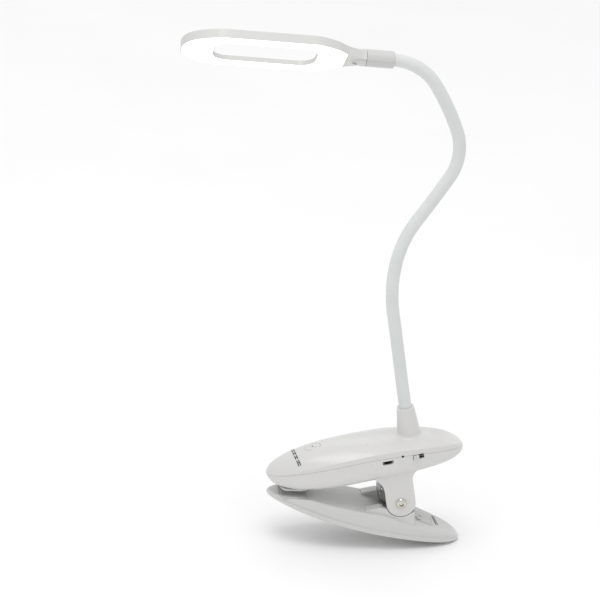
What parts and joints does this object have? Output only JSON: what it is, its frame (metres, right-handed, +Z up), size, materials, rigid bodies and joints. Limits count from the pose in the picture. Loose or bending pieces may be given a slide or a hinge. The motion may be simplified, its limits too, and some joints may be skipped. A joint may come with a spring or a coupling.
{
  "type": "clip-on reading lamp",
  "caption": "Clip-on reading lamp: sprung clip body with touch mark, flexible neck and flat ring-shaped head whose underside glows.",
  "frame": {"origin": "centre of the upper jaw pad's contact face, where it rests on the top of the clamped board", "axes": "+X runs along the clip from the jaw's tip towards the handle end and the neck's foot, +Z is up out of the board's top, +Y is to the far side when the jaws point to the left"},
  "size_m": [0.2389, 0.045, 0.4099],
  "materials": {
    "shell_white": "smooth glossy moulded plastic",
    "jaw_white": "smooth satin-gloss moulded plastic",
    "pad_rubber": "soft pale elastomer with grooves",
    "screw_steel": "plain zinc steel",
    "pin_nickel": "polished nickel plate",
    "spring_steel": "dark tempered strip",
    "cell_wrap": "shrink-wrapped cell",
    "board_green": "solder-masked glass laminate",
    "usb_shell": "tin-plated folded steel",
    "tongue_black": "moulded insulator",
    "switch_case_steel": "folded tin plate",
    "switch_knob_white": "ribbed moulded plastic",
    "lens_clear": "clear moulded light pipe",
    "electrode_copper": "bare copper foil disc",
    "ferrule_steel": "turned steel",
    "sleeve_silicone": "matte silicone sleeve",
    "conduit_steel": "interlocked steel hose",
    "lead_red": "twisted insulated wire",
    "collar_white": "satin moulded plastic",
    "spigot_nylon": "natural nylon",
    "head_white": "smooth moulded plastic",
    "diffuser_milk": "opal diffusing plastic",
    "led_board_white": "white solder-masked board",
    "led_yellow": "phosphor-filled chips",
    "label_white": "matt label film"
  },
  "bodies": {
    "clip_body": {"upper_shell": "shell_white", "lower_shell": "shell_white", "upper_jaw_pad": "pad_rubber", "shell_screws": "screw_steel", "battery_cell": "cell_wrap", "control_board": "board_green", "usb_socket": "usb_shell", "usb_tongue": "tongue_black", "switch_case": "switch_case_steel", "touch_electrode": "electrode_copper", "neck_base_ferrule": "ferrule_steel", "neck_base_nut": "ferrule_steel", "indicator_lens": "lens_clear", "hinge_pin": "pin_nickel", "jaw_spring": "spring_steel", "neck_sleeve_1": "sleeve_silicone", "neck_conduit_1": "conduit_steel", "neck_leads_1": "lead_red"},
    "switch_slider": {"switch_knob": "switch_knob_white"},
    "jaw": {"lower_jaw": "jaw_white", "lower_jaw_pad": "pad_rubber", "rating_label": "label_white"},
    "neck_2": {"neck_sleeve_2": "sleeve_silicone", "neck_conduit_2": "conduit_steel", "neck_leads_2": "lead_red"},
    "neck_3": {"neck_sleeve_3": "sleeve_silicone", "neck_conduit_3": "conduit_steel", "neck_leads_3": "lead_red"},
    "neck_4": {"neck_sleeve_4": "sleeve_silicone", "neck_conduit_4": "conduit_steel", "neck_leads_4": "lead_red"},
    "neck_5": {"neck_sleeve_5": "sleeve_silicone", "neck_conduit_5": "conduit_steel", "neck_leads_5": "lead_red"},
    "neck_6": {"neck_sleeve_6": "sleeve_silicone", "neck_conduit_6": "conduit_steel", "neck_leads_6": "lead_red"},
    "neck_7": {"neck_sleeve_7": "sleeve_silicone", "neck_conduit_7": "conduit_steel", "neck_leads_7": "lead_red"},
    "neck_top": {"neck_sleeve_8": "sleeve_silicone", "neck_conduit_8": "conduit_steel", "neck_leads_8": "lead_red", "neck_top_ferrule": "ferrule_steel", "collar_upper_half": "collar_white", "collar_lower_half": "collar_white"},
    "head": {"swivel_spigot": "spigot_nylon", "head_top_shell": "head_white", "head_neck_cover": "head_white", "head_screw": "screw_steel", "diffuser": "diffuser_milk", "led_board": "led_board_white", "led_chips": "led_yellow", "head_leads": "lead_red"}
  },
  "joints": [
    {"name": "clip_jaw", "type": "hinge", "parent": "clip_body", "child": "jaw", "pos_m": [0.0795, 0, -0.006], "axis": [0, -1, 0], "range_deg": [-2.5, 28], "stiffness_Nm_per_rad": 1.5, "springref_deg": -40.11, "deforming": ["jaw_spring"]},
    {"name": "switch_slide", "type": "slide", "parent": "clip_body", "child": "switch_slider", "axis": [0.9767, 0, 0.2147], "range_m": [0, 0.0026]},
    {"name": "neck_bend_1", "type": "hinge", "parent": "clip_body", "child": "neck_2", "pos_m": [0.07002, 0, 0.10441], "axis": [0, 1, 0], "range_deg": [-30, 30]},
    {"name": "neck_bend_2", "type": "hinge", "parent": "neck_2", "child": "neck_3", "pos_m": [0.06192, 0, 0.1425], "axis": [0.9774, 0, 0.2113], "range_deg": [-30, 30]},
    {"name": "neck_bend_3", "type": "hinge", "parent": "neck_3", "child": "neck_4", "pos_m": [0.06003, 0, 0.18122], "axis": [0, 1, 0], "range_deg": [-30, 30]},
    {"name": "neck_bend_4", "type": "hinge", "parent": "neck_4", "child": "neck_5", "pos_m": [0.0727, 0, 0.21771], "axis": [0.8508, 0, -0.5255], "range_deg": [-30, 30]},
    {"name": "neck_bend_5", "type": "hinge", "parent": "neck_5", "child": "neck_6", "pos_m": [0.09249, 0, 0.25124], "axis": [0, 1, 0], "range_deg": [-30, 30]},
    {"name": "neck_bend_6", "type": "hinge", "parent": "neck_6", "child": "neck_7", "pos_m": [0.09462, 0, 0.28878], "axis": [0.9212, 0, 0.3891], "range_deg": [-30, 30]},
    {"name": "neck_bend_7", "type": "hinge", "parent": "neck_7", "child": "neck_top", "pos_m": [0.0761, 0, 0.32297], "axis": [0, 1, 0], "range_deg": [-30, 30]},
    {"name": "head_twist", "type": "hinge", "parent": "neck_top", "child": "head", "pos_m": [0.02536, 0, 0.3421], "axis": [-0.999, 0, 0.0436], "range_deg": [-132.5, 47.5]}
  ]
}
